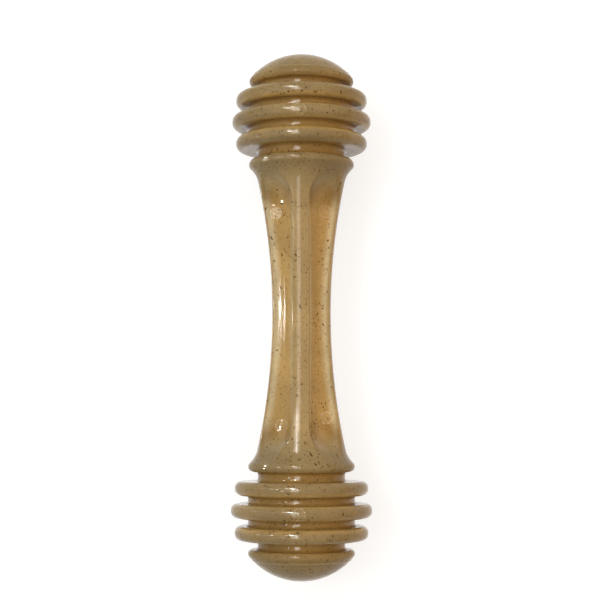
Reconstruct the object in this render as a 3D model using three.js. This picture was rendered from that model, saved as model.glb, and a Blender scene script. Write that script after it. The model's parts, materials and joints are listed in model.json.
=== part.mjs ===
// Nylon chew bone: a fluted shaft between two ball heads, each ball cut by four ring grooves.
// The moulding is divided at the groove walls, so its solids touch face to face.
// Millimetres, +Z up. The bone lies along Y on its two widest rings. The origin is on the
// surface it lies on, under the middle of the shaft.
import * as THREE from "three";

const overallLength = 178;

// Ball heads, from the tip inwards
const domeHeight = 10.55;
const domeDiameter = 35.7;
const domeRimRadius = 1.4;
const endGrooveWidth = 3.05;
const endGrooveDiameter = 29.2;
const ringGrooveWidth = 2.7;
const ringGrooveDiameter = 35.8;
const ringThickness = 4.7;
const ringEdgeRadius = 2;
const sideRingDiameter = 44.7;
const wideRingDiameter = 47.3;

// Shaft between the heads
const collarDiameter = 35.8;
const collarEdgeRadius = 1.8;
const collarFlareRadius = 8.6;
const waistDiameter = 19.8;
const shaftEndDiameter = 32.2;

// Flutes that leave four ribs on the shaft
const ribThickness = 5.8;
const ribEdgeRounding = 1;
const fluteRampLength = 15;
const fluteEndMargin = 1.6;

const nylonColour = "#a98d60";
const nylonRoughness = 0.34;

// Facets of the turned surfaces; the flats touch the true circle
const turnedSides = 32;
const arcSteps = 3;
const shaftColumns = 96;

const axisHeight = wideRingDiameter / 2;
const tipY = overallLength / 2;
const ringPitch = ringThickness + ringGrooveWidth;
const domeFaceY = tipY - domeHeight;
const outerRingY = domeFaceY - endGrooveWidth - ringThickness;
const wideRingY = outerRingY - ringPitch;
const innerRingY = wideRingY - ringPitch;
const collarFaceY = innerRingY - endGrooveWidth;

const bone = new THREE.Group();
bone.name = "nylon_chew_bone";

function addPiece(name, geometry) {
  geometry.translate(0, 0, axisHeight);
  const nylon = new THREE.MeshStandardMaterial({
    color: nylonColour,
    roughness: nylonRoughness,
    metalness: 0,
  });
  const piece = new THREE.Mesh(geometry, nylon);
  piece.name = name;
  bone.add(piece);
}

// Turned solids of a head, about the Y axis
function turned(outline) {
  const flatScale = 1 / Math.cos(Math.PI / turnedSides);
  const points = outline.getPoints(arcSteps);
  points.forEach((point) => {
    point.x *= flatScale;
  });
  return new THREE.LatheGeometry(points, turnedSides, Math.PI / turnedSides);
}

function coreGeometry(diameter, width, fromY) {
  const outline = new THREE.Path();
  outline.moveTo(0, fromY);
  outline.lineTo(diameter / 2, fromY);
  outline.lineTo(diameter / 2, fromY + width);
  outline.lineTo(0, fromY + width);
  return turned(outline);
}

function ringCore(ringY) {
  return coreGeometry(ringGrooveDiameter, ringGrooveWidth, ringY + ringThickness);
}

function endCore(fromY) {
  return coreGeometry(endGrooveDiameter, endGrooveWidth, fromY);
}

function ringGeometry(diameter, fromY) {
  const edgeX = diameter / 2 - ringEdgeRadius;
  const lowY = fromY + ringEdgeRadius;
  const highY = fromY + ringThickness - ringEdgeRadius;
  const outline = new THREE.Path();
  outline.moveTo(0, fromY);
  outline.lineTo(edgeX, fromY);
  outline.absarc(edgeX, lowY, ringEdgeRadius, -Math.PI / 2, 0);
  outline.absarc(edgeX, highY, ringEdgeRadius, 0, Math.PI / 2);
  outline.lineTo(0, fromY + ringThickness);
  return turned(outline);
}

// The crown is the sphere through the tip that runs smoothly into the rim
function domeGeometry() {
  const rimX = domeDiameter / 2 - domeRimRadius;
  const rimDrop = domeHeight - domeRimRadius;
  const spread = rimX * rimX + rimDrop * rimDrop - domeRimRadius * domeRimRadius;
  const crownRadius = spread / (2 * (rimDrop - domeRimRadius));
  const crownY = tipY - crownRadius;
  const rimY = domeFaceY + domeRimRadius;
  const crownStart = Math.atan2(rimY - crownY, rimX);
  const outline = new THREE.Path();
  outline.moveTo(0, domeFaceY);
  outline.lineTo(rimX, domeFaceY);
  outline.absarc(rimX, rimY, domeRimRadius, -Math.PI / 2, crownStart);
  outline.absarc(0, crownY, crownRadius, crownStart, Math.PI / 2);
  return turned(outline);
}

function addHead(prefix, turn) {
  const pieces = [
    ["collar_core", endCore(collarFaceY)],
    ["inner_ring", ringGeometry(sideRingDiameter, innerRingY)],
    ["inner_core", ringCore(innerRingY)],
    ["wide_ring", ringGeometry(wideRingDiameter, wideRingY)],
    ["outer_core", ringCore(wideRingY)],
    ["outer_ring", ringGeometry(sideRingDiameter, outerRingY)],
    ["dome_core", endCore(outerRingY + ringThickness)],
    ["dome", domeGeometry()],
  ];
  pieces.forEach(([name, geometry]) => {
    geometry.rotateZ(turn);
    addPiece(`${prefix}_${name}`, geometry);
  });
}

addHead("far", 0);
addHead("near", Math.PI);

// Outline of the shaft: a long hollow arc, a flare fillet and the rounded collar edge
const waistRadius = waistDiameter / 2;
const edgeX = collarDiameter / 2 - collarEdgeRadius;
const edgeY = collarFaceY - collarEdgeRadius;
const sag = (shaftEndDiameter - waistDiameter) / 2;
const hollowRadius = (edgeY * edgeY + sag * sag) / (2 * sag);
const hollowX = waistRadius + hollowRadius;

// Centre of the flare, at rest against both the hollow arc and the collar edge
const toHollow = hollowRadius - collarFlareRadius;
const toEdge = collarEdgeRadius + collarFlareRadius;
const span = new THREE.Vector2(edgeX - hollowX, edgeY);
const spanLength = span.length();
const along = (toHollow * toHollow - toEdge * toEdge + spanLength * spanLength) / (2 * spanLength);
const across = Math.sqrt(toHollow * toHollow - along * along);
const flareX = hollowX + (span.x * along - span.y * across) / spanLength;
const flareY = (span.y * along + span.x * across) / spanLength;
const flareStartY = (flareY * hollowRadius) / toHollow;
const flareEndY = edgeY + ((flareY - edgeY) * collarEdgeRadius) / toEdge;

function arcHeight(radius, offset) {
  return Math.sqrt(Math.max(radius * radius - offset * offset, 0));
}

function shaftRadius(y) {
  const reach = Math.abs(y);
  if (reach < flareStartY) return hollowX - arcHeight(hollowRadius, reach);
  if (reach < flareEndY) return flareX - arcHeight(collarFlareRadius, reach - flareY);
  return edgeX + arcHeight(collarEdgeRadius, reach - edgeY);
}

function softMin(first, second, rounding) {
  const overlap = Math.max(rounding - Math.abs(first - second), 0);
  return Math.min(first, second) - (overlap * overlap) / (4 * rounding);
}

// A flute is a quarter-round hollow between two rib edges, and its floor climbs to the collar
const ribHalf = ribThickness / 2;
const fluteEndY = collarFaceY - fluteEndMargin;
const rampStartY = fluteEndY - fluteRampLength;

function fluteFloor(y) {
  const radius = shaftRadius(y);
  const deepest = arcHeight(radius, ribHalf) * (Math.SQRT2 - 1) + ribHalf;
  const climb = THREE.MathUtils.smoothstep(Math.abs(y), rampStartY, fluteEndY);
  return THREE.MathUtils.lerp(deepest, radius + ribEdgeRounding, climb);
}

// Distance from the axis to the skin of the shaft, in a direction turned from the nearest rib
function skinRadius(turnFromRib, y) {
  const cornerReach = (fluteFloor(y) - ribHalf) / (1 - Math.SQRT1_2);
  const cornerX = cornerReach * Math.SQRT1_2;
  const cornerRadius = cornerX - ribHalf;
  const onFlank = turnFromRib < Math.atan2(ribHalf, cornerX);
  const facing = cornerReach * Math.cos(Math.PI / 4 - turnFromRib);
  const inCorner = facing - Math.sqrt(facing * facing - cornerReach * cornerReach + cornerRadius * cornerRadius);
  const flute = onFlank ? ribHalf / Math.sin(turnFromRib) : inCorner;
  return softMin(shaftRadius(y), flute, ribEdgeRounding);
}

function evenSteps(from, to, count) {
  return Array.from({ length: count }, (_, step) => from + ((to - from) * step) / count);
}

function shaftStations() {
  const edgeStart = Math.asin((flareEndY - edgeY) / collarEdgeRadius);
  const edgeTurns = evenSteps(edgeStart, Math.PI / 2, 5);
  const half = [
    ...evenSteps(0, rampStartY, 6),
    ...evenSteps(rampStartY, flareStartY, 7),
    ...evenSteps(flareStartY, flareEndY, 3),
    ...edgeTurns.map((turn) => edgeY + collarEdgeRadius * Math.sin(turn)),
    collarFaceY,
  ];
  const mirrored = half.slice(1).reverse().map((y) => -y);
  return [...mirrored, ...half];
}

function shaftGeometry() {
  const quarter = Math.PI / 2;
  const stations = shaftStations();
  const corners = [];
  const faces = [];
  stations.forEach((y) => {
    for (let column = 0; column < shaftColumns; column += 1) {
      const turn = (column / shaftColumns) * 2 * Math.PI;
      const past = turn % quarter;
      const radius = skinRadius(Math.min(past, quarter - past), y);
      corners.push(radius * Math.sin(turn), y, radius * Math.cos(turn));
    }
  });
  for (let row = 0; row + 1 < stations.length; row += 1) {
    for (let column = 0; column < shaftColumns; column += 1) {
      const next = (column + 1) % shaftColumns;
      const low = row * shaftColumns;
      const high = low + shaftColumns;
      faces.push(low + column, low + next, high + next);
      faces.push(low + column, high + next, high + column);
    }
  }
  const lastRow = (stations.length - 1) * shaftColumns;
  const nearCentre = corners.length / 3;
  const farCentre = nearCentre + 1;
  corners.push(0, -collarFaceY, 0);
  corners.push(0, collarFaceY, 0);
  for (let column = 0; column < shaftColumns; column += 1) {
    const next = (column + 1) % shaftColumns;
    faces.push(nearCentre, next, column);
    faces.push(farCentre, lastRow + column, lastRow + next);
  }
  const geometry = new THREE.BufferGeometry();
  geometry.setAttribute("position", new THREE.Float32BufferAttribute(corners, 3));
  geometry.setIndex(faces);
  geometry.computeVertexNormals();
  return geometry;
}

addPiece("fluted_shaft", shaftGeometry());

export default bone;
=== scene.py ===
import json
from math import acos, atan2, cos, exp, hypot, pi, radians, sin, sqrt

import bpy
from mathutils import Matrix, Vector

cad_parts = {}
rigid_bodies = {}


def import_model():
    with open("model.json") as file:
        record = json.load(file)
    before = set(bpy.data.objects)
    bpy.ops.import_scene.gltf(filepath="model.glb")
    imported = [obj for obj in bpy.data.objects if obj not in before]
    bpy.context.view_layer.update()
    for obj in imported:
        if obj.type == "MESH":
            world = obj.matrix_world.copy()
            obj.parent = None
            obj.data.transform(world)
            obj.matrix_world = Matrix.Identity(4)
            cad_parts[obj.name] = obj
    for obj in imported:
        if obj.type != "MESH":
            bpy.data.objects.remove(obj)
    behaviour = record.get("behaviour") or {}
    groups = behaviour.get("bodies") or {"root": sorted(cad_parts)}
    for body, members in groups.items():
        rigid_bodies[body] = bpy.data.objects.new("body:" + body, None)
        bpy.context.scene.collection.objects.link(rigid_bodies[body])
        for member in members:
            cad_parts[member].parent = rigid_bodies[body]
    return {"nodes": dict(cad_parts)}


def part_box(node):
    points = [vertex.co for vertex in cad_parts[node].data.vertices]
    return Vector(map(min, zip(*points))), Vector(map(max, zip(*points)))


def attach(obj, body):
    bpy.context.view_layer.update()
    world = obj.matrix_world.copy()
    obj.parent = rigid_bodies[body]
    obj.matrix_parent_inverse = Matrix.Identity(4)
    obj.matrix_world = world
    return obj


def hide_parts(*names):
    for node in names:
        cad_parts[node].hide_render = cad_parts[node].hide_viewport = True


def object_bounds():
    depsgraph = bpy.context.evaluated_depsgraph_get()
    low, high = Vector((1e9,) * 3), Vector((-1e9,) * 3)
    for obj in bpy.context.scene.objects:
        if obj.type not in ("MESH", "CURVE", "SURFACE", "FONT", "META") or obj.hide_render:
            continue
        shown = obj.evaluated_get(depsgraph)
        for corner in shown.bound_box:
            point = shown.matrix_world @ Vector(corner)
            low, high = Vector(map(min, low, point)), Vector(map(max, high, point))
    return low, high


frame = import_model()
cadLow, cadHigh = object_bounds()
mm = 0.001
axisZ = (cadLow.z + cadHigh.z) / 2  # the bone's long axis lies level at this height
smoothBelow = radians(40)  # edges that bend more stay sharp
print("frame loaded:", len(frame["nodes"]), "nodes")


def startFresh():
    if bpy.context.mode != "OBJECT":
        bpy.ops.object.mode_set(mode="OBJECT")
    bpy.ops.object.select_all(action="DESELECT")


def finishPiece(piece, node, material):
    startFresh()
    bpy.context.view_layer.objects.active = piece
    piece.select_set(True)
    bpy.ops.object.shade_smooth_by_angle(angle=smoothBelow)
    piece.data.materials.clear()
    piece.data.materials.append(material)
    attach(piece, "root")
    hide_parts(node)


def arcHeight(radius, offset):
    return sqrt(max(radius * radius - offset * offset, 0))


def easeBetween(value, start, end):  # 0 at the start, 1 at the end, smooth at both
    share = min(max((value - start) / (end - start), 0), 1)
    return share * share * (3 - 2 * share)


def addDrum(name, sides, radius, lowY, highY):  # a plain drum along the bone's axis, still to be shaped
    startFresh()
    bpy.ops.mesh.primitive_cylinder_add(
        vertices=sides, radius=radius, depth=highY - lowY,
        location=(0, (lowY + highY) / 2, axisZ), rotation=(radians(90), 0, 0))
    drum = bpy.context.object
    drum.name = name
    bpy.ops.object.transform_apply(location=True, rotation=True, scale=True)
    return drum


def cutAlong(drum, steps):  # divides the edges that run from one end of a drum to the other
    bpy.ops.object.mode_set(mode="EDIT")
    bpy.ops.mesh.select_mode(type="EDGE")
    bpy.ops.mesh.select_all(action="DESELECT")
    bpy.ops.object.mode_set(mode="OBJECT")
    corners = drum.data.vertices
    length = max(c.co.y for c in corners) - min(c.co.y for c in corners)
    for edge in drum.data.edges:
        first, last = (corners[i].co for i in edge.vertices)
        edge.select = abs(first.y - last.y) > length / 2
    bpy.ops.object.mode_set(mode="EDIT")
    bpy.ops.mesh.subdivide(number_cuts=steps - 1)
    bpy.ops.object.mode_set(mode="OBJECT")


def selectFaces(piece, wanted):  # leaves the piece in edit mode
    bpy.ops.object.mode_set(mode="EDIT")
    bpy.ops.mesh.select_mode(type="FACE")
    bpy.ops.mesh.select_all(action="DESELECT")
    bpy.ops.object.mode_set(mode="OBJECT")
    for face in piece.data.polygons:
        face.select = wanted(face)
    bpy.ops.object.mode_set(mode="EDIT")


def refineFaces(piece, inPlace, cuts):
    selectFaces(piece, lambda face: inPlace(face.center))
    bpy.ops.mesh.subdivide(number_cuts=cuts)
    bpy.ops.object.mode_set(mode="OBJECT")


# Round marks that the ejector pins left on the upper side

pinLook = {
    "radius": 2.0 * mm, "rimHeight": 0.07 * mm, "rimWidth": 0.13 * mm, "sink": 0.03 * mm,
    "margin": 0.7 * mm,  # how far the finer mesh reaches past a mark
    "ringSink": 2,  # times deeper on the wide rings
    "shaft": ((-8.5 * mm, 34.1 * mm), (8.05 * mm, 34.5 * mm),
              (-6.45 * mm, -37.2 * mm), (8.4 * mm, -34.8 * mm)),
    "frostAndSheen": (1.0, 0.14, 0.12, 0.16), "ringFrost": 0.1,  # how rough and pale each mark is; the far-left mark's paleness is partly painted sheen
    "rims": (1.0, 0.8, 0.5, 1.6), "ringRim": 0.75,  # how pale and worn its rim is
    "frostEdge": (0.05 * mm, -0.15 * mm), "rimFade": (0.22 * mm, 0.08 * mm),
    "roughness": 0.36, "pits": (0.38, 0.6),
    "wornSpan": 1.2 * mm, "wornNoise": (0.42, 0.6), "worn": (0.08, 0.55),
}


def fromPin(x, y, pin):
    return hypot(x - pin[0], y - pin[1])


def nearPin(x, y, pins):
    return any(fromPin(x, y, pin) < pinLook["radius"] + pinLook["margin"] for pin in pins)


def pinRelief(x, y, pins):  # a fine raised rim round a floor that is a hair lower
    relief = 0
    for pin in pins:
        reach = fromPin(x, y, pin) - pinLook["radius"]
        onRim = exp(-(reach / pinLook["rimWidth"]) ** 2)
        relief += pinLook["rimHeight"] * onRim
        if reach < 0:
            relief -= pinLook["sink"] * (1 - onRim)
    return relief


# Nylon

nylonLook = {
    # The flute tone is paler than the nylon itself: painted light standing in for light shining through the
    # thin shaft.
    "ribTan": (0.4, 0.28, 0.125, 1), "fluteLitTan": (0.58, 0.465, 0.27, 1),
    # The corner tone is painted shade: a deeper orange where each flute is deepest.
    "cornerShadeTan": (0.47, 0.3, 0.107, 1), "pocketShadeTan": (0.2, 0.1, 0.02, 1),
    # The head tone is darker than the nylon itself: painted shade for the thick heads, which light does not
    # pass through.
    "headShadedTan": (0.287, 0.208, 0.096, 1), "noseLitTan": (0.41, 0.278, 0.103, 1),
    # The groove tone is painted shade: a deeper, warmer tone in the groove roots.
    "grooveShadeTan": (0.33, 0.2, 0.06, 1), "domeTan": (0.28, 0.196, 0.083, 1),
    # The pale tone serves the worn pin rims, the mould line on the domes and the frosted pin floors, whose
    # paleness is partly painted sheen.
    "wornAndSheenTan": (0.7, 0.58, 0.38, 1),
    "shade": 0.09, "shadeSpan": 14 * mm,  # broad light and dark patches
    "mottle": 0.07, "mottleSpan": 0.9 * mm,
    "roughness": (0.056, 0.098), "smearSpan": 3 * mm,
    "ripple": 0.004 * mm, "rippleSpan": 1.5 * mm,
    "grain": 0.006 * mm, "grainSpan": 0.35 * mm, "plainGrain": 0.35,  # share of the grain outside the pin marks
    "scatterReach": (1.0, 0.75, 0.5),  # red light goes deepest
}
toneLook = {  # where each tone begins and where it is full
    "waist": 9.9 * mm, "bow": 427 * mm, "ribHalf": 2.9 * mm,  # the uncut shaft's radius is waist + y * y / bow
    "flute": (0.2 * mm, 1.5 * mm), "corner": (1.3 * mm, 3.1 * mm),  # depth below the uncut shaft
    "ballCentre": 65.65 * mm, "ballRadius": 23.7 * mm,
    "nose": (0.25 * mm, 1.3 * mm), "groove": (1.6 * mm, 4 * mm),  # depth below the ball: painted light on the ring edges, painted shade in the groove roots
    "head": (37 * mm, 48 * mm), "collar": (51.85 * mm, 52.85 * mm), "dome": (78.4 * mm, 79.4 * mm),
    "pocketStart": (33 * mm, 42 * mm), "pocketEnd": (51 * mm, 46 * mm),  # where the flutes run out, with their painted shade
    "pocketSide": (4 * mm, 0), "pocketDepth": (0, 0.8 * mm), "pocketShare": 0.68,
    "line": 16.5 * mm, "lineFade": (0.22 * mm, 0.06 * mm), "lineFrom": 80 * mm, "lineShare": 0.22,
}
scatterLook = {  # light goes deep into the rings, and the roots of the grooves take it on the surface
    "shaft": {"share": 0.45, "depth": 1.1 * mm, "shine": 0.08},
    "ring": {"share": 1.0, "depth": 4.5 * mm, "shine": 0.16},
    "dome": {"share": 1.0, "depth": 4.5 * mm, "shine": 0.08},
    "root": {"share": 0.0, "depth": 1 * mm, "shine": 0.16},
}
fleckLook = {
    "colour": (0.095, 0.04, 0.008, 1), "wobble": 0.25 * mm, "wobbleSpan": 0.4 * mm,
    "crowdSpan": 11 * mm, "crowd": (0.7, 1.25),  # the flecks are larger in some places
    "widths": (0.45, 1.5), "core": 0.5, "palest": 0.45,  # shares of the size, the width and the strength
    # Turn in degrees, cell size, length to width, share of cells kept, half width in cells, darkness
    "layers": (
        {"turn": (20, 35, 0), "cell": 1.15 * mm, "stretch": 2.6, "keep": 0.5, "size": 0.2, "strength": 1.0},
        {"turn": (75, -20, 40), "cell": 1.25 * mm, "stretch": 3.0, "keep": 0.5, "size": 0.18, "strength": 1.0},
        {"turn": (-50, 60, 15), "cell": 1.1 * mm, "stretch": 2.2, "keep": 0.48, "size": 0.2, "strength": 0.95},
        {"turn": (10, -70, 80), "cell": 0.9 * mm, "stretch": 2.6, "keep": 0.6, "size": 0.18, "strength": 0.6},
        {"turn": (-35, 15, -60), "cell": 2.2 * mm, "stretch": 2.2, "keep": 0.5, "size": 0.26, "strength": 0.2},
    ),
}
noiseMiddle = (0.5, 0.5, 0.5)
noiseSpread = (0.3, 0.7)  # most of a noise lies between these


def addNode(tree, kind, inputs=None, **settings):
    node = tree.nodes.new(kind)
    for name, value in settings.items():
        setattr(node, name, value)
    for name, value in (inputs or {}).items():
        if isinstance(value, bpy.types.NodeSocket):
            tree.links.new(value, node.inputs[name])
        else:
            node.inputs[name].default_value = value
    return node


def doMath(tree, operation, first, second=0.0):
    return addNode(tree, "ShaderNodeMath", {0: first, 1: second}, operation=operation).outputs[0]


def vectorMath(tree, operation, *values):
    node = addNode(tree, "ShaderNodeVectorMath", dict(enumerate(values)), operation=operation)
    return node.outputs["Value" if operation in ("LENGTH", "DISTANCE", "DOT_PRODUCT") else "Vector"]


def scaled(tree, vector, share):
    node = addNode(tree, "ShaderNodeVectorMath", {0: vector, "Scale": share}, operation="SCALE")
    return node.outputs["Vector"]


def joined(tree, x, y, z):
    return addNode(tree, "ShaderNodeCombineXYZ", {"X": x, "Y": y, "Z": z}).outputs[0]


def ramp(tree, value, low, high, toLow=0.0, toHigh=1.0):
    return addNode(tree, "ShaderNodeMapRange", interpolation_type="SMOOTHSTEP", inputs={
        "Value": value, "From Min": low, "From Max": high, "To Min": toLow, "To Max": toHigh}).outputs[0]


def blend(tree, share, first, second):  # the colour sockets of a mix node are the seventh and eighth
    return addNode(tree, "ShaderNodeMix", {0: share, 6: first, 7: second}, data_type="RGBA").outputs[2]


def noiseAt(tree, place, span, detail=2.0):
    return addNode(tree, "ShaderNodeTexNoise", {"Vector": place, "Scale": 1 / span, "Detail": detail})


def patchy(tree, place, span, low, high, detail=2.0, spread=noiseSpread):  # wanders between low and high
    noise = noiseAt(tree, place, span, detail).outputs["Fac"]
    return ramp(tree, noise, *spread, low, high)


def bodyColour(tree, place):  # heads painted darker and flutes paler, for light passing through thin nylon; painted shade in the grooves, the flutes' depths and their end pockets; painted light on the ring edges
    look, tone = nylonLook, toneLook
    parts = addNode(tree, "ShaderNodeSeparateXYZ", {"Vector": place})
    aside = doMath(tree, "ABSOLUTE", parts.outputs["X"])
    along = doMath(tree, "ABSOLUTE", parts.outputs["Y"])
    up = doMath(tree, "SUBTRACT", parts.outputs["Z"], axisZ)
    pastCentre = doMath(tree, "SUBTRACT", along, tone["ballCentre"])
    ballReach = vectorMath(tree, "LENGTH", joined(tree, aside, pastCentre, up))
    shaftReach = vectorMath(tree, "LENGTH", joined(tree, aside, 0, up))
    bowed = doMath(tree, "DIVIDE", doMath(tree, "MULTIPLY", along, along), tone["bow"])
    fluteDepth = doMath(tree, "SUBTRACT", doMath(tree, "ADD", bowed, tone["waist"]), shaftReach)
    grooveDepth = doMath(tree, "SUBTRACT", tone["ballRadius"], ballReach)

    # Painted light: the flutes take the paler tone.
    shaft = blend(tree, ramp(tree, fluteDepth, *tone["flute"]), look["ribTan"], look["fluteLitTan"])
    # Painted shade: the deepest part of each flute takes the corner tone.
    shaft = blend(tree, ramp(tree, fluteDepth, *tone["corner"]), shaft, look["cornerShadeTan"])

    # Painted light: the rounded ring edges take a paler, warmer tone.
    head = blend(tree, ramp(tree, grooveDepth, *tone["nose"]), look["headShadedTan"], look["noseLitTan"])
    # Painted shade: the groove roots take the deep groove tone.
    head = blend(tree, ramp(tree, grooveDepth, *tone["groove"]), head, look["grooveShadeTan"])
    head = blend(tree, ramp(tree, along, *tone["collar"]), look["headShadedTan"], head)
    head = blend(tree, ramp(tree, along, *tone["dome"]), head, look["domeTan"])
    fromLine = doMath(tree, "ABSOLUTE", doMath(tree, "SUBTRACT", shaftReach, tone["line"]))
    onLine = ramp(tree, fromLine, *tone["lineFade"], 0, tone["lineShare"])
    onLine = doMath(tree, "MULTIPLY", onLine, doMath(tree, "GREATER_THAN", along, tone["lineFrom"]))
    head = blend(tree, onLine, head, look["wornAndSheenTan"])
    body = blend(tree, ramp(tree, along, *tone["head"]), shaft, head)

    # Painted shade: a dark tone in the pockets beside the ribs where the flutes run out.
    toPlane = doMath(tree, "MINIMUM", aside, doMath(tree, "ABSOLUTE", up))
    fromFlank = doMath(tree, "SUBTRACT", toPlane, tone["ribHalf"])
    inPocketShade = ramp(tree, fluteDepth, *tone["pocketDepth"], 0, tone["pocketShare"])
    for nearness in (ramp(tree, along, *tone["pocketStart"]), ramp(tree, along, *tone["pocketEnd"]),
                     ramp(tree, fromFlank, *tone["pocketSide"])):
        inPocketShade = doMath(tree, "MULTIPLY", inPocketShade, nearness)
    return blend(tree, inPocketShade, body, look["pocketShadeTan"])


def pinMask(tree, place):  # how frosted the round pin marks are, with painted sheen on the palest, and how pale their worn rims
    parts = addNode(tree, "ShaderNodeSeparateXYZ", {"Vector": place})
    flat = joined(tree, parts.outputs["X"], parts.outputs["Y"], 0)
    upper = doMath(tree, "GREATER_THAN", parts.outputs["Z"], axisZ)
    marks = list(zip(pinLook["shaft"], pinLook["frostAndSheen"], pinLook["rims"]))
    for side in (1, -1):
        marks.append(((0, side * toneLook["ballCentre"]), pinLook["ringFrost"], pinLook["ringRim"]))
    outer, inner = (pinLook["radius"] + past for past in pinLook["frostEdge"])
    mask, rims = 0.0, 0.0
    for (x, y), frostAndSheen, pale in marks:
        reach = vectorMath(tree, "DISTANCE", flat, (x, y, 0))
        fromRim = doMath(tree, "ABSOLUTE", doMath(tree, "SUBTRACT", reach, pinLook["radius"]))
        mask = doMath(tree, "MAXIMUM", ramp(tree, reach, outer, inner, 0, frostAndSheen), mask)
        rims = doMath(tree, "MAXIMUM", ramp(tree, fromRim, *pinLook["rimFade"], 0, pale), rims)
    return doMath(tree, "MULTIPLY", mask, upper), doMath(tree, "MULTIPLY", rims, upper)


def fleckMask(tree, place):  # bits of fibre, cut by the surface at every angle
    look = fleckLook
    wave = noiseAt(tree, place, look["wobbleSpan"]).outputs["Color"]
    wave = scaled(tree, vectorMath(tree, "SUBTRACT", wave, noiseMiddle), look["wobble"])
    shaken = vectorMath(tree, "ADD", place, wave)
    crowd = patchy(tree, place, look["crowdSpan"], *look["crowd"], detail=1.0)
    mask = 0.0
    for layer in look["layers"]:
        turned = addNode(tree, "ShaderNodeMapping", vector_type="TEXTURE", inputs={
            "Vector": shaken, "Rotation": [radians(angle) for angle in layer["turn"]],
            "Scale": (1, 1, layer["stretch"])}).outputs[0]
        cells = addNode(tree, "ShaderNodeTexVoronoi", {"Vector": turned, "Scale": 1 / layer["cell"]})
        chance = addNode(tree, "ShaderNodeSeparateColor", {"Color": cells.outputs["Color"]})
        width = ramp(tree, chance.outputs["Red"], 0, 1, *look["widths"])
        width = doMath(tree, "MULTIPLY", doMath(tree, "MULTIPLY", width, layer["size"]), crowd)
        spot = ramp(tree, cells.outputs["Distance"], width, doMath(tree, "MULTIPLY", width, look["core"]))
        kept = doMath(tree, "LESS_THAN", chance.outputs["Green"], layer["keep"])
        dark = ramp(tree, chance.outputs["Blue"], 0, 1, look["palest"] * layer["strength"], layer["strength"])
        spot = doMath(tree, "MULTIPLY", doMath(tree, "MULTIPLY", spot, kept), dark)
        mask = doMath(tree, "MAXIMUM", spot, mask)
    return mask


def makeNylon(name, scatter):
    look = nylonLook
    nylon = bpy.data.materials.new(name)
    nylon.use_nodes = True
    tree = nylon.node_tree
    shader = tree.nodes["Principled BSDF"]
    place = addNode(tree, "ShaderNodeTexCoord").outputs["Object"]
    pin, rim = pinMask(tree, place)

    # Colour
    shade = patchy(tree, place, look["shadeSpan"], 1 - look["shade"], 1 + look["shade"])
    mottle = patchy(tree, place, look["mottleSpan"], 1 - look["mottle"], 1 + look["mottle"], detail=3.0)
    body = scaled(tree, bodyColour(tree, place), doMath(tree, "MULTIPLY", shade, mottle))
    pitted = patchy(tree, place, look["grainSpan"], 0, 1, detail=3.0, spread=pinLook["pits"])
    # Frosted pin floors take the pale tone: partly their own matt finish, partly painted sheen.
    body = blend(tree, doMath(tree, "MULTIPLY", pin, pitted), body, look["wornAndSheenTan"])
    worn = patchy(tree, place, pinLook["wornSpan"], *pinLook["worn"], spread=pinLook["wornNoise"])
    body = blend(tree, doMath(tree, "MULTIPLY", rim, worn), body, look["wornAndSheenTan"])
    body = blend(tree, fleckMask(tree, place), body, fleckLook["colour"])
    tree.links.new(body, shader.inputs["Base Color"])

    # Gloss and fine relief
    smear = patchy(tree, place, look["smearSpan"], *look["roughness"])
    rough = doMath(tree, "MAXIMUM", smear, doMath(tree, "MULTIPLY", pin, pinLook["roughness"]))
    tree.links.new(rough, shader.inputs["Roughness"])
    ripple = noiseAt(tree, place, look["rippleSpan"], detail=1.0).outputs["Fac"]
    ripple = doMath(tree, "MULTIPLY", ripple, look["ripple"])
    grain = noiseAt(tree, place, look["grainSpan"], detail=3.0).outputs["Fac"]
    grain = doMath(tree, "MULTIPLY", grain, look["grain"])
    grain = doMath(tree, "MULTIPLY", doMath(tree, "ADD", pin, look["plainGrain"]), grain)
    height = doMath(tree, "ADD", ripple, grain)
    bump = addNode(tree, "ShaderNodeBump", {"Height": height, "Distance": 1.0, "Strength": 1.0})
    tree.links.new(bump.outputs["Normal"], shader.inputs["Normal"])

    shader.inputs["Specular IOR Level"].default_value = scatter["shine"]
    shader.inputs["Subsurface Weight"].default_value = scatter["share"]
    shader.inputs["Subsurface Radius"].default_value = look["scatterReach"]
    shader.inputs["Subsurface Scale"].default_value = scatter["depth"]
    return nylon


ringNylon = makeNylon("ringNylon", scatterLook["ring"])
domeNylon = makeNylon("domeNylon", scatterLook["dome"])
rootNylon = makeNylon("rootNylon", scatterLook["root"])
shaftNylon = makeNylon("shaftNylon", scatterLook["shaft"])
print("nylon mixed")

# Rings of the ball heads

ringLook = {"sides": 200, "edge": 2.15 * mm, "edgeSteps": 9, "faceInset": 0.4 * mm, "markCuts": 7}


def isEndFace(face):
    return abs(face.normal.y) > 0.999


def makeRing(node):
    low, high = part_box(node)
    ring = addDrum("moulded_" + node, ringLook["sides"], high.x, low.y, high.y)
    selectFaces(ring, isEndFace)
    bpy.ops.mesh.bevel(offset=ringLook["edge"], segments=ringLook["edgeSteps"], profile=0.5)
    selectFaces(ring, isEndFace)
    bpy.ops.mesh.inset(thickness=ringLook["faceInset"])
    bpy.ops.object.mode_set(mode="OBJECT")
    if "wide" in node:
        markRing(ring, low, high)
    finishPiece(ring, node, ringNylon)


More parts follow.
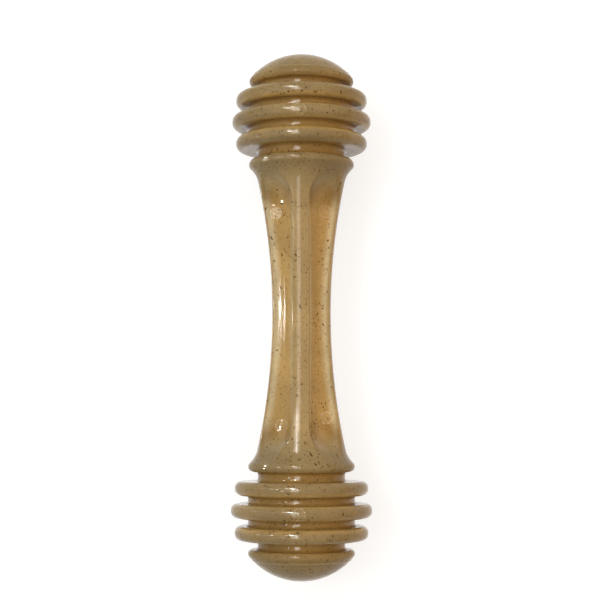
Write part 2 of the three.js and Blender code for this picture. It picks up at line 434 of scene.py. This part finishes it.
def markRing(ring, low, high):  # one pin mark on top of the rim
    middle = (low.y + high.y) / 2
    pins = ((0, middle),)
    edge = ringLook["edge"]
    straight = (high.y - low.y) / 2 - edge

    def onMark(place):
        return place.z > axisZ + high.x - edge and nearPin(place.x, place.y, pins)

    refineFaces(ring, onMark, ringLook["markCuts"])
    for corner in ring.data.vertices:
        if not onMark(corner.co):
            continue
        turn = atan2(corner.co.x, corner.co.z - axisZ)
        over = max(abs(corner.co.y - middle) - straight, 0)
        radius = high.x - edge + arcHeight(edge, over)
        radius += min(pinRelief(radius * sin(turn), corner.co.y, pins), 0) * pinLook["ringSink"]
        corner.co.x = radius * sin(turn)
        corner.co.z = axisZ + radius * cos(turn)


# Groove roots between the rings, hollowed into the walls on both sides

coreLook = {"sides": 200, "rootFillet": 1.1 * mm, "lengthSteps": 20}


def makeCore(node):
    low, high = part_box(node)
    fillet = coreLook["rootFillet"]
    core = addDrum("moulded_" + node, coreLook["sides"], high.x, low.y, high.y)
    cutAlong(core, coreLook["lengthSteps"])
    for corner in core.data.vertices:
        fromWall = min(corner.co.y - low.y, high.y - corner.co.y)
        rise = max(fillet - fromWall, 0)
        grow = 1 + (fillet - arcHeight(fillet, rise)) / high.x
        corner.co.x *= grow
        corner.co.z = axisZ + (corner.co.z - axisZ) * grow
    finishPiece(core, node, rootNylon)


# Domed ends, each with the fine ring where two parts of the mould met

domeLook = {
    "sides": 200, "rimRadius": 1.4 * mm, "rimSteps": 10, "crownSteps": 40, "weld": 0.01 * mm,
    "lineAt": toneLook["line"], "lineHeight": 0.12 * mm, "lineWidth": 0.2 * mm, "lineSteps": 4,
}


def domeOutline(radius, height):  # from the middle of the flat face, round the rim, to the tip
    look = domeLook
    rim = look["rimRadius"]
    rimX = radius - rim
    rimDrop = height - rim
    crown = (rimX ** 2 + rimDrop ** 2 - rim ** 2) / (2 * (rimDrop - rim))
    turnIn = atan2(crown - rimDrop, rimX)
    outline = [(0.0, 0.0)]
    for step in range(look["rimSteps"] + 1):
        turn = -pi / 2 + (turnIn + pi / 2) * step / look["rimSteps"]
        outline.append((rimX + rim * cos(turn), rim + rim * sin(turn)))
    crownTurn = pi / 2 - turnIn
    turns = [turnIn + crownTurn * step / look["crownSteps"] for step in range(1, look["crownSteps"] + 1)]
    lineTurn = acos(look["lineAt"] / crown)
    for step in range(-look["lineSteps"], look["lineSteps"] + 1):
        turns.append(lineTurn + step / 2 * look["lineWidth"] / crown)
    for turn in sorted(turns):
        fromLine = (turn - lineTurn) * crown / look["lineWidth"]
        reach = crown + look["lineHeight"] * exp(-fromLine ** 2)
        outline.append((reach * cos(turn), height - crown + reach * sin(turn)))
    return outline


def makeDome(node):
    low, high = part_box(node)
    outward = 1 if high.y > 0 else -1
    baseY = low.y if outward > 0 else high.y
    outline = domeOutline(high.x, high.y - low.y)
    startFresh()
    mesh = bpy.data.meshes.new("moulded_" + node)
    mesh.from_pydata([(x, baseY + outward * y, axisZ) for x, y in outline],
                     [(i, i + 1) for i in range(len(outline) - 1)], [])
    dome = bpy.data.objects.new("moulded_" + node, mesh)
    bpy.context.collection.objects.link(dome)
    bpy.context.view_layer.objects.active = dome
    dome.select_set(True)
    bpy.ops.object.mode_set(mode="EDIT")
    bpy.ops.mesh.select_all(action="SELECT")
    bpy.ops.mesh.spin(steps=domeLook["sides"], angle=2 * pi, center=(0, 0, axisZ), axis=(0, 1, 0))
    bpy.ops.mesh.select_all(action="SELECT")
    bpy.ops.mesh.remove_doubles(threshold=domeLook["weld"])
    bpy.ops.mesh.normals_make_consistent(inside=False)
    bpy.ops.object.mode_set(mode="OBJECT")
    finishPiece(dome, node, domeNylon)


for end in ("far", "near"):
    for ringName in ("inner_ring", "wide_ring", "outer_ring"):
        makeRing(f"{end}_{ringName}")
    for coreName in ("collar_core", "inner_core", "outer_core", "dome_core"):
        makeCore(f"{end}_{coreName}")
    makeDome(f"{end}_dome")
    print(end, "head modelled")

# Fluted shaft with its collars

shaftLook = {
    "columns": 400, "waistSteps": 24, "rampSteps": 60, "collarSteps": 24, "markCuts": 2,
    "denseMargin": 3 * mm,  # the short steps begin and end this far before the ramp does
    "sectionAt": 0.7, "sectionSteps": 4000,  # the columns are shared out on the section this far along a half
    "waistRadius": toneLook["waist"], "endRadius": 16.1 * mm,
    "collarEdge": 1.8 * mm, "collarFlare": 8.6 * mm,
    "ribHalf": toneLook["ribHalf"], "ribEdge": 0.35 * mm, "ribCrown": 9.5 * mm,
    "crownEnd": (44 * mm, 50.5 * mm), "rampLength": 15 * mm, "endMargin": 1.6 * mm,
}
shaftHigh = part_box("fluted_shaft")[1]
faceY = shaftHigh.y


def shaftOutline():  # a long hollow arc, a flare and the rounded edge of the collar, each running into the next
    look = shaftLook
    edge, flare = look["collarEdge"], look["collarFlare"]
    edgeX, edgeY = shaftHigh.x - edge, faceY - edge
    sag = look["endRadius"] - look["waistRadius"]
    hollow = (edgeY ** 2 + sag ** 2) / (2 * sag)
    hollowX = look["waistRadius"] + hollow
    toHollow, toEdge = hollow - flare, edge + flare
    spanX, spanY = edgeX - hollowX, edgeY
    span = sqrt(spanX ** 2 + spanY ** 2)
    along = (toHollow ** 2 - toEdge ** 2 + span ** 2) / (2 * span)
    across = sqrt(toHollow ** 2 - along ** 2)
    flareX = hollowX + (spanX * along - spanY * across) / span
    flareY = (spanY * along + spanX * across) / span
    flareStart = flareY * hollow / toHollow
    flareEnd = edgeY + (flareY - edgeY) * edge / toEdge

    def radiusAt(y):  # of the uncut shaft
        reach = abs(y)
        if reach < flareStart:
            return hollowX - arcHeight(hollow, reach)
        if reach < flareEnd:
            return flareX - arcHeight(flare, reach - flareY)
        return edgeX + arcHeight(edge, reach - edgeY)

    return radiusAt


outlineAt = shaftOutline()
ribHalf = shaftLook["ribHalf"]
fluteEnd = faceY - shaftLook["endMargin"]
rampStart = fluteEnd - shaftLook["rampLength"]


def softMin(first, second, rounding):
    overlap = max(rounding - abs(first - second), 0)
    return min(first, second) - overlap ** 2 / (4 * rounding)


def floorAt(y):  # the quarter-round hollow between two rib edges climbs to the skin at the collar
    radius = outlineAt(y)
    deepest = arcHeight(radius, ribHalf) * (sqrt(2) - 1) + ribHalf
    return deepest + (radius + shaftLook["ribEdge"] - deepest) * easeBetween(abs(y), rampStart, fluteEnd)


def ribTop(fromRib, y):  # the ribs are rounder across than the shaft
    radius = outlineAt(y)
    crown = shaftLook["ribCrown"]
    offset = min(radius * sin(fromRib), ribHalf)
    drop = crown - arcHeight(crown, offset) - (radius - arcHeight(radius, offset))
    start, end = shaftLook["crownEnd"]
    return radius - drop * easeBetween(abs(y), end, start)


def skinAt(turn, y):
    past = turn % (pi / 2)
    fromRib = min(past, pi / 2 - past)
    cornerReach = (floorAt(y) - ribHalf) / (1 - sqrt(0.5))
    cornerX = cornerReach * sqrt(0.5)
    cornerRadius = cornerX - ribHalf
    if fromRib < 1e-6:
        flute = 1.0  # straight up a rib no flute is met
    elif fromRib < atan2(ribHalf, cornerX):
        flute = ribHalf / sin(fromRib)
    else:
        facing = cornerReach * cos(pi / 4 - fromRib)
        flute = facing - sqrt(max(facing ** 2 - cornerReach ** 2 + cornerRadius ** 2, 0))
    return softMin(ribTop(fromRib, y), flute, shaftLook["ribEdge"])


def evenTurns(y, count):  # directions that share a section's outline into equal lengths
    fine = shaftLook["sectionSteps"]
    points = []
    for step in range(fine + 1):
        turn = 2 * pi * step / fine
        radius = skinAt(turn, y)
        points.append(Vector((radius * sin(turn), radius * cos(turn))))
    lengths = [0.0]
    for first, last in zip(points, points[1:]):
        lengths.append(lengths[-1] + (last - first).length)
    turns = []
    step = 0
    for column in range(count):
        wanted = lengths[-1] * column / count
        while lengths[step + 1] < wanted:
            step += 1
        share = (wanted - lengths[step]) / (lengths[step + 1] - lengths[step])
        turns.append(2 * pi * (step + share) / fine)
    return turns + [2 * pi]


def evenSteps(start, end, count):
    return [start + (end - start) * step / count for step in range(count)]


def shaftStations():  # long steps at the waist, short ones where the flutes run out
    denseStart = rampStart - shaftLook["denseMargin"]
    denseEnd = fluteEnd - shaftLook["denseMargin"]
    half = evenSteps(0, denseStart, shaftLook["waistSteps"])
    half += evenSteps(denseStart, denseEnd, shaftLook["rampSteps"])
    half += evenSteps(denseEnd, faceY, shaftLook["collarSteps"]) + [faceY]
    return [-y for y in reversed(half[1:])] + half


def between(values, place):
    step = min(max(int(place), 0), len(values) - 2)
    return values[step] + (values[step + 1] - values[step]) * (place - step)


def makeShaft(node):
    columns = shaftLook["columns"]
    stations = shaftStations()
    steps = len(stations) - 1
    shaft = addDrum("moulded_" + node, columns, shaftHigh.x, -faceY, faceY)
    cutAlong(shaft, steps)
    turns = evenTurns(shaftLook["sectionAt"] * faceY, columns)
    pins = pinLook["shaft"]

    def onSkin(place):  # where a point of the drum goes on the shaft; rounding keeps its corners on whole steps
        column = (atan2(place.x, place.z - axisZ) % (2 * pi)) * columns / (2 * pi)
        turn = between(turns, round(column, 4) % columns)
        y = between(stations, round((place.y + faceY) * steps / (2 * faceY), 4))
        radius = skinAt(turn, y)
        return Vector((radius * sin(turn), y, axisZ + radius * cos(turn)))

    def onMark(place):
        if abs(place.y) > 0.99 * faceY or place.z < axisZ:  # the flat ends and the underside
            return False
        skin = onSkin(place)
        return nearPin(skin.x, skin.y, pins)

    refineFaces(shaft, onMark, shaftLook["markCuts"])
    for corner in shaft.data.vertices:
        skin = onSkin(corner.co)
        if skin.z > axisZ and nearPin(skin.x, skin.y, pins):
            skin.z += pinRelief(skin.x, skin.y, pins)
        corner.co = skin
    finishPiece(shaft, node, shaftNylon)


makeShaft("fluted_shaft")
print("shaft modelled")

# Floor, light and camera

floorLook = {
    "side": 6.0, "near": (0.45, 0.45, 0.45, 1), "far": (0.2, 0.2, 0.2, 1), "roughness": 0.9,
    "glow": (1, 1, 1, 1), "lift": 0.68,  # brings the paper up to white round the bone
    "fade": (0.45, 0.16),  # metres from the bone where it is grey and where it is white
}
roomLook = {"colour": (1, 0.985, 0.96, 1), "bright": 0.96, "dim": 0.1,
            "round": -16, "along": 20, "spread": (-0.3, 1.0)}


def seenPlainly(tree):  # 1 for what the camera sees, straight or in a reflection
    path = addNode(tree, "ShaderNodeLightPath")
    straight = doMath(tree, "MAXIMUM", path.outputs["Is Camera Ray"], path.outputs["Is Glossy Ray"])
    return doMath(tree, "MAXIMUM", straight, path.outputs["Is Transmission Ray"])


def makeFloor():
    startFresh()
    bpy.ops.mesh.primitive_plane_add(size=floorLook["side"], location=(0, 0, 0))
    floor = bpy.context.object
    floor.name = "paleFloor"
    paper = bpy.data.materials.new("palePaper")
    paper.use_nodes = True
    tree = paper.node_tree
    shader = tree.nodes["Principled BSDF"]
    place = addNode(tree, "ShaderNodeTexCoord").outputs["Object"]
    near = ramp(tree, vectorMath(tree, "LENGTH", place), *floorLook["fade"])
    tree.links.new(blend(tree, near, floorLook["far"], floorLook["near"]), shader.inputs["Base Color"])
    shader.inputs["Roughness"].default_value = floorLook["roughness"]
    shader.inputs["Specular IOR Level"].default_value = 0
    shader.inputs["Emission Color"].default_value = floorLook["glow"]
    lift = doMath(tree, "MULTIPLY", seenPlainly(tree), floorLook["lift"])
    tree.links.new(doMath(tree, "MULTIPLY", lift, near), shader.inputs["Emission Strength"])
    floor.data.materials.append(paper)


makeFloor()


def skyward(swing, lean):  # direction from the bone, by its turn round the bone and its lean along it
    return Vector((sin(swing) * cos(lean), sin(lean), cos(swing) * cos(lean)))


def makeRoom():  # soft light, brightest beyond the far head on the left
    brightest = skyward(radians(roomLook["round"]), radians(roomLook["along"]))
    world = bpy.data.worlds.new("softRoom")
    bpy.context.scene.world = world
    world.use_nodes = True
    tree = world.node_tree
    sky = tree.nodes["Background"]
    looking = addNode(tree, "ShaderNodeTexCoord").outputs["Generated"]
    towards = vectorMath(tree, "DOT_PRODUCT", looking, brightest)
    strength = ramp(tree, towards, *roomLook["spread"], roomLook["dim"], roomLook["bright"])
    tree.links.new(strength, sky.inputs["Strength"])
    sky.inputs["Color"].default_value = roomLook["colour"]


makeRoom()

# Each lamp hangs round the bone (degrees, minus is left) and along it (degrees towards the far head),
# away from its middle in metres, and its glow is the radiance of its face
lampTint = (1, 0.97, 0.91)
lampLook = {
    "softKey": {"round": -24, "along": 10, "away": 1.6, "size": (0.45, 0.9), "glow": 5.2},
    "warmSide": {"round": 58, "along": 0, "away": 1.2, "size": (0.6, 0.8), "glow": 2.5,
                 "tint": (1, 0.66, 0.33)},
}
paneLook = {  # windows that show in the gloss only
    "keyMain": {"round": -16.5, "along": 24, "away": 1.8, "size": (0.22, 0.5), "glow": 74},
    "keyLeft": {"round": -24.5, "along": 24, "away": 1.8, "size": (0.26, 0.5), "glow": 26},
    "keyRight": {"round": -9, "along": 24, "away": 1.8, "size": (0.22, 0.5), "glow": 26},
    "ribStrip": {"round": -9, "along": 3, "away": 1.8, "size": (0.46, 1.05), "glow": 18},
    "leftPane": {"round": -46, "along": 4.3, "away": 0.3, "size": (0.1, 0.006), "glow": 165},
    "leftWindow": {"round": -76, "along": 4.1, "away": 0.3, "size": (0.07, 0.007), "glow": 115},
    "edgePane": {"round": -31, "along": -6, "away": 1.5, "size": (0.08, 0.2), "glow": 26},
    "leftLow": {"round": -85, "along": -11, "away": 1.2, "size": (0.2, 0.2), "glow": 150,
                "onto": "moulded_fluted_shaft"},
    "leftHigh": {"round": -85, "along": 22, "away": 1.2, "size": (0.2, 0.2), "glow": 150,
                 "onto": "moulded_fluted_shaft"},
    "rightHigh": {"round": 80, "along": 20, "away": 1.2, "size": (0.05, 0.05), "glow": 99},
}


def makeLamp(name, look, inGloss):
    swing, lean = radians(look["round"]), radians(look["along"])
    width, length = look["size"]
    startFresh()
    bpy.ops.object.light_add(
        type="AREA", location=Vector((0, 0, axisZ)) + look["away"] * skyward(swing, lean))
    lamp = bpy.context.object
    lamp.name = name
    lamp.data.shape = "RECTANGLE"
    lamp.data.size, lamp.data.size_y = width, length
    lamp.data.energy = look["glow"] * pi * width * length
    lamp.data.color = look.get("tint", lampTint)
    lamp.visible_diffuse = not inGloss
    lamp.visible_glossy = inGloss
    if "onto" in look:  # a glint beside a pin mark, seen on one piece alone
        takers = bpy.data.collections.new(name + "Takers")
        takers.objects.link(bpy.data.objects[look["onto"]])
        lamp.light_linking.receiver_collection = takers
    lamp.rotation_euler = (-lean, swing, 0)  # faces the bone, its long side kept in line with it


for lampName, look in lampLook.items():
    makeLamp(lampName, look, False)
for paneName, look in paneLook.items():
    makeLamp(paneName, look, True)

cameraLook = {
    "distance": 492.2 * mm,  # from the bone's axis
    "alongBone": -36.0 * mm,  # where the camera stands along the bone
    "aside": -0.5 * mm,
    "tilt": 4.926, "roundBone": 1.8,  # degrees
    "lens": 87.55, "sensor": 36, "shift": -0.00724, "clipFrom": 0.01,
}


def makeCamera():
    look = cameraLook
    swing = radians(look["roundBone"])
    startFresh()
    bpy.ops.object.camera_add(
        location=(look["distance"] * sin(swing) + look["aside"], look["alongBone"],
                  axisZ + look["distance"] * cos(swing)),
        rotation=(radians(look["tilt"]), swing, 0))
    camera = bpy.context.object
    camera.data.lens = look["lens"]
    camera.data.sensor_width = look["sensor"]
    camera.data.shift_y = look["shift"]
    camera.data.clip_start = look["clipFrom"]
    bpy.context.scene.camera = camera


makeCamera()
bpy.context.scene.view_settings.view_transform = "Standard"
print("stage set")
